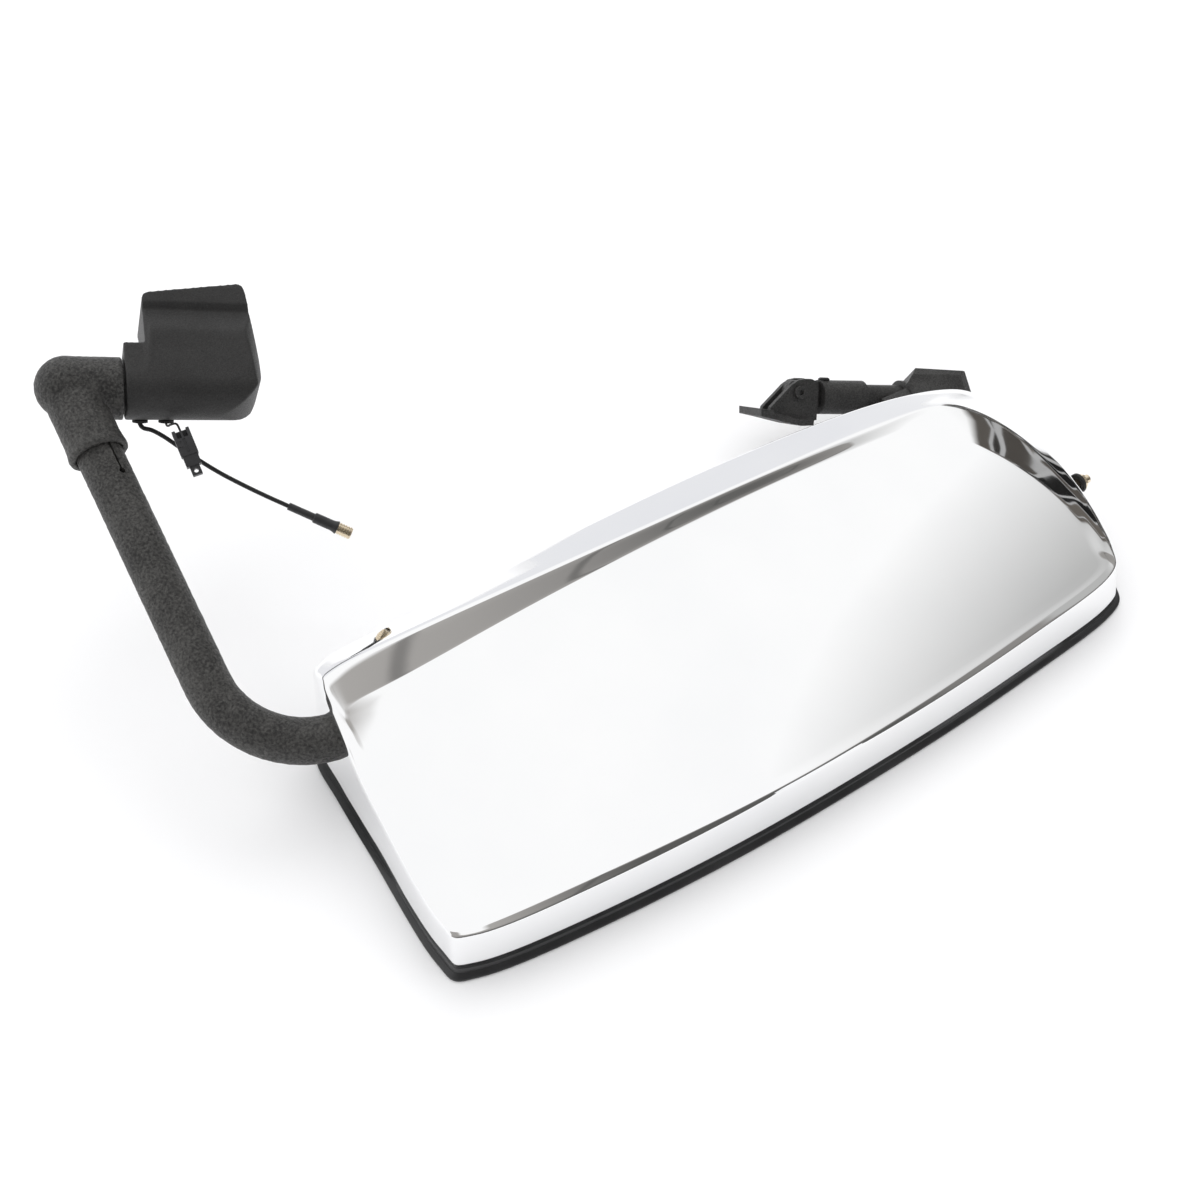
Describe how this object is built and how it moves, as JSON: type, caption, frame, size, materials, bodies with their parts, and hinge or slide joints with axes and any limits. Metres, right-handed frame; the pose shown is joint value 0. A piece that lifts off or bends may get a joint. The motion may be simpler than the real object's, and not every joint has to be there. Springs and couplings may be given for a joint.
{
  "type": "door mirror",
  "caption": "Large chrome-shelled door mirror head on bent tube arms, with a folding two-point door mount, tilting main and wide-angle glasses and a hanging coax lead.",
  "frame": {"origin": "on the floor plane that the rim lies on, under the middle of the whole object's bounding box, leads left out", "axes": "+Z up, away from the floor and out of the back of the head; +X along the head from its lower end in use to its upper end; +Y from the free side of the head to the arm and hinge side. In use +X points up and the glass looks to the rear along -Z."},
  "size_m": [0.7233, 0.5177, 0.2215],
  "materials": {
    "bright_shell": "chrome plated, polished",
    "black_plastic": "fine grained",
    "black_textured_steel": "wrinkle texture powder coat, satin",
    "black_textured_alloy": "wrinkle texture powder coat, satin",
    "zinc_steel": "zinc plated",
    "bronze": "plain bearing bronze",
    "plug_brass": "turned",
    "mirror_glass": "first surface silvered glass",
    "heater_film": "printed film",
    "lead_rubber": "smooth, satin"
  },
  "bodies": {
    "head": {"chrome_shell": "bright_shell", "rim_frame": "black_plastic", "inner_frame": "black_plastic", "tube_cap_lower": "black_plastic", "tube_cap_upper": "black_plastic", "cap_screws": "zinc_steel", "lower_arm_tube": "black_textured_steel", "lower_elbow": "black_textured_alloy", "elbow_set_screw": "zinc_steel", "hinge_pin": "zinc_steel", "thrust_washer": "zinc_steel", "disc_springs": "zinc_steel", "hinge_nut": "zinc_steel", "upper_arm_block": "black_textured_alloy", "block_screw": "zinc_steel", "upper_tube": "black_textured_steel", "main_actuator": "black_plastic", "spot_holder": "black_plastic", "antenna_stud": "plug_brass", "antenna_washer": "lead_rubber", "antenna_nut": "plug_brass"},
    "lower_mount": {"mount_base": "black_textured_alloy", "mount_cover": "black_plastic", "cover_screws": "black_textured_steel", "hinge_bush": "bronze", "lead_grommets": "lead_rubber", "coax_cable": "lead_rubber", "coax_sleeve_small": "lead_rubber", "coax_sleeve_large": "lead_rubber", "coax_plug": "plug_brass", "signal_wire": "lead_rubber", "signal_connector": "black_plastic"},
    "sleeve": {"upper_sleeve": "black_textured_alloy", "sleeve_grease_cap": "lead_rubber"},
    "foot": {"foot_bracket": "black_textured_steel", "foot_bolt": "black_textured_steel", "foot_nut": "black_textured_steel"},
    "main_gimbal": {"main_pivot_cross": "zinc_steel"},
    "main_mirror": {"main_glass": "mirror_glass", "main_heater": "heater_film", "main_carrier": "black_plastic"},
    "pan_jack": {"pan_jack_rod": "black_plastic"},
    "tilt_jack": {"tilt_jack_rod": "black_plastic"},
    "spot_gimbal": {"spot_pivot_cross": "zinc_steel"},
    "spot_mirror": {"spot_glass": "mirror_glass", "spot_heater": "heater_film", "spot_carrier": "black_plastic"}
  },
  "joints": [
    {"name": "fold_lower", "type": "hinge", "parent": "head", "child": "lower_mount", "pos_m": [-0.33911, 0.20499, 0.18996], "axis": [0.934, -0.2606, -0.2443], "range_deg": [-70, 70]},
    {"name": "fold_upper", "type": "hinge", "parent": "head", "child": "sleeve", "pos_m": [0.2418, 0.0429, 0.038], "axis": [0.934, -0.2606, -0.2443], "range_deg": [0, 146]},
    {"name": "foot_tilt", "type": "hinge", "parent": "sleeve", "child": "foot", "pos_m": [0.20021, 0.05682, 0.05245], "axis": [0.0912, 0.8353, -0.5422], "range_deg": [-10, 20]},
    {"name": "main_tilt", "type": "hinge", "parent": "head", "child": "main_gimbal", "pos_m": [0.0885, -0.1397, 0.03], "axis": [0, 1, 0], "range_deg": [-2.5, 2.5]},
    {"name": "main_pan", "type": "hinge", "parent": "main_gimbal", "child": "main_mirror", "pos_m": [0.0885, -0.1397, 0.03], "axis": [1, 0, 0], "range_deg": [-4, 4]},
    {"name": "tilt_jack_slide", "type": "slide", "parent": "head", "child": "tilt_jack", "axis": [0, 0, 1], "range_m": [-0.0016, 0.0016]},
    {"name": "pan_jack_slide", "type": "slide", "parent": "head", "child": "pan_jack", "axis": [0, 0, 1], "range_m": [-0.0025, 0.0025]},
    {"name": "spot_tilt", "type": "hinge", "parent": "head", "child": "spot_gimbal", "pos_m": [-0.1945, -0.1397, 0.03], "axis": [0, 1, 0], "range_deg": [-4, 4]},
    {"name": "spot_pan", "type": "hinge", "parent": "spot_gimbal", "child": "spot_mirror", "pos_m": [-0.1945, -0.1397, 0.03], "axis": [1, 0, 0], "range_deg": [-4, 4]}
  ],
  "couplings": [
    {"joint": "tilt_jack_slide", "follows": "main_tilt", "m_per_rad": -0.032},
    {"joint": "pan_jack_slide", "follows": "main_pan", "m_per_rad": -0.032}
  ]
}
